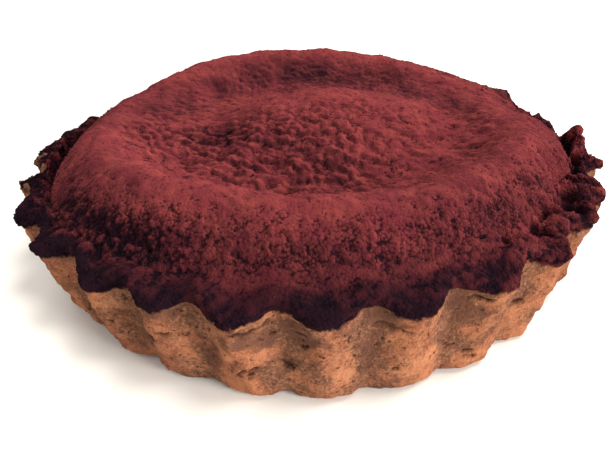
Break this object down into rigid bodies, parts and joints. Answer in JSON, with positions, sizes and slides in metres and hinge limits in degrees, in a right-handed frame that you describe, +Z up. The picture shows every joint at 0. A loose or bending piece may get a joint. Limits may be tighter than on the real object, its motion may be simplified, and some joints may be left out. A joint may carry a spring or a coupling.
{
  "type": "chocolate tart",
  "caption": "Small round tart: a fluted shortcrust case filled to above its rim with chocolate that set in a raised ring round a low middle, dusted all over with cocoa.",
  "frame": {"origin": "on the table, in the middle of the case's flat underside", "axes": "+Z up out of the tart's top, +X and +Y across the round, the angles of the fluting counted from +X towards +Y"},
  "size_m": [0.117, 0.1168, 0.0288],
  "materials": {
    "crust": "baked shortcrust, dry and matt, tan with browned patches and small pits; its rim is coated with dark cocoa",
    "filling": "set chocolate under a thick sieved layer of reddish-brown cocoa powder, matt and clumped"
  },
  "bodies": {
    "root": {"crust": "crust", "filling": "filling"}
  },
  "joints": []
}
